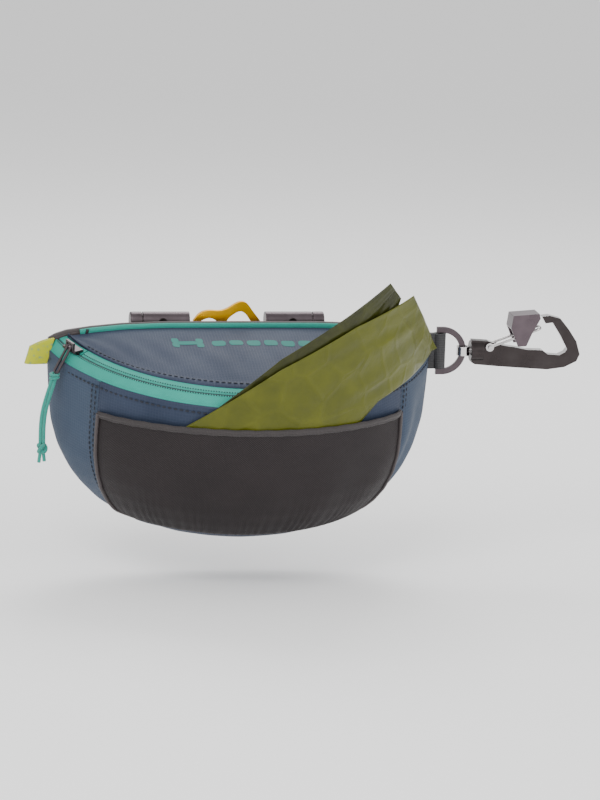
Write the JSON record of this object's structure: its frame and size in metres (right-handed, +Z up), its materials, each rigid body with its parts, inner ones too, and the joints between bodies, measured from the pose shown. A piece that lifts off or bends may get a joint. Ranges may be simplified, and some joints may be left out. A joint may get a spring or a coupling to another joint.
{
  "type": "treat pouch",
  "caption": "Half-moon fabric treat pouch with zipped lid, mesh front pocket with bag film, spring belt clip, side D-ring with swivel snap clip and grab loop.",
  "frame": {"origin": "on the pouch's flat rear face, where the belt lies behind the clip's jaw", "axes": "+X to the ring's side, +Y out of the rear face towards the wearer, +Z up"},
  "size_m": [0.3066, 0.1002, 0.1613],
  "materials": {
    "pouch_fabric": "matt ripstop weave",
    "pocket_mesh": "fine perforated stretch mesh",
    "binding_tape": "ribbed binding tape",
    "teal_tape": "woven zip tape",
    "zip_coil": "nylon coil",
    "gunmetal": "dark satin plate",
    "teal_cord": "braided cord",
    "lime_cord": "flecked woven loop",
    "black_webbing": "ribbed webbing",
    "gold_anodised": "satin gold anodising",
    "spring_steel": "bright drawn wire",
    "dark_chrome": "dark mirror plate",
    "dark_clip": "dark faces with polished edges",
    "lock_metal": "faceted dark plate",
    "bag_film": "thin folded film"
  },
  "bodies": {
    "pouch": {"back_panel": "pouch_fabric", "front_panel": "pouch_fabric", "side_gusset_left": "pouch_fabric", "side_gusset_right": "pouch_fabric", "mesh_pocket": "pocket_mesh", "pocket_hem": "pocket_mesh", "pocket_side_seams": "pocket_mesh", "top_binding": "binding_tape", "teal_trim": "teal_tape", "lower_zip_tape": "teal_tape", "lower_zip_coil": "zip_coil", "zip_stops": "gunmetal", "lid_corner_left": "pouch_fabric", "lid_corner_right": "pouch_fabric", "zip_end_tape_left": "teal_tape", "zip_end_tape_right": "teal_tape", "grab_loop": "lime_cord", "ring_webbing": "black_webbing", "clip_base_plate": "gunmetal", "rod_housings": "gunmetal", "clip_rivets": "gunmetal", "housing_screws": "gunmetal", "hinge_rod": "gunmetal", "end_caps": "gunmetal"},
    "lid": {"lid_panel": "pouch_fabric", "upper_zip_tape": "teal_tape", "upper_zip_coil": "zip_coil"},
    "zip_slider": {"zip_slider": "gunmetal"},
    "zip_pull": {"pull_wire": "gunmetal", "pull_cord": "teal_cord", "pull_knot": "teal_cord"},
    "lever": {"belt_lever": "gold_anodised", "belt_jaw": "gunmetal", "torsion_springs": "spring_steel"},
    "ring": {"d_ring": "gunmetal"},
    "swivel": {"swivel_eye": "dark_chrome"},
    "clip": {"clip_body": "dark_clip", "gate_pin": "spring_steel"},
    "gate": {"gate_wire": "spring_steel"},
    "lock": {"gate_lock": "lock_metal"},
    "front_bag": {"bag_front": "bag_film"},
    "rear_bag": {"bag_rear": "bag_film"}
  },
  "joints": [
    {"name": "lid_hinge", "type": "hinge", "parent": "pouch", "child": "lid", "pos_m": [0, -0.0041, 0.0202], "axis": [-1, 0, 0], "range_deg": [0, 105]},
    {"name": "zip_travel", "type": "hinge", "parent": "pouch", "child": "zip_slider", "pos_m": [0, 0.02552, 0.01806], "axis": [0, -0.2181, 0.9759], "range_deg": [0, 128]},
    {"name": "pull_swing", "type": "hinge", "parent": "zip_slider", "child": "zip_pull", "pos_m": [-0.09562, -0.02119, 0.01326], "axis": [-0.4384, 0.8771, 0.1961], "range_deg": [0, 68], "deforming": ["pull_cord"]},
    {"name": "lever_press", "type": "hinge", "parent": "pouch", "child": "lever", "pos_m": [0, 0.008, 0.0155], "axis": [1, 0, 0], "range_deg": [0, 20], "stiffness_Nm_per_rad": 1.5, "springref_deg": -8.59, "deforming": ["torsion_springs"]},
    {"name": "ring_swing", "type": "hinge", "parent": "pouch", "child": "ring", "pos_m": [0.111, -0.0008, 0.0055], "axis": [0, 0, 1], "range_deg": [-45, 45]},
    {"name": "eye_slide", "type": "hinge", "parent": "ring", "child": "swivel", "pos_m": [0.1127, -0.0008, 0.0055], "axis": [0, 1, 0], "range_deg": [-50, 50]},
    {"name": "clip_spin", "type": "hinge", "parent": "swivel", "child": "clip", "pos_m": [0.1284, -0.0008, 0.0055], "axis": [1, 0, 0], "continuous": true},
    {"name": "gate_open", "type": "hinge", "parent": "clip", "child": "gate", "pos_m": [0.1386, -0.0008, 0.0081], "axis": [0, 1, 0], "range_deg": [0, 12], "stiffness_Nm_per_rad": 0.05, "springref_deg": -11.46},
    {"name": "lock_slide", "type": "slide", "parent": "gate", "child": "lock", "axis": [-0.939, 0, -0.3439], "range_m": [0, 0.004]},
    {"name": "front_bag_pull", "type": "slide", "parent": "pouch", "child": "front_bag", "axis": [0, -0.2181, 0.9759], "range_m": [0, 0.045], "deforming": ["bag_front"]},
    {"name": "rear_bag_pull", "type": "slide", "parent": "pouch", "child": "rear_bag", "axis": [0, -0.2181, 0.9759], "range_m": [0, 0.045], "deforming": ["bag_rear"]}
  ]
}
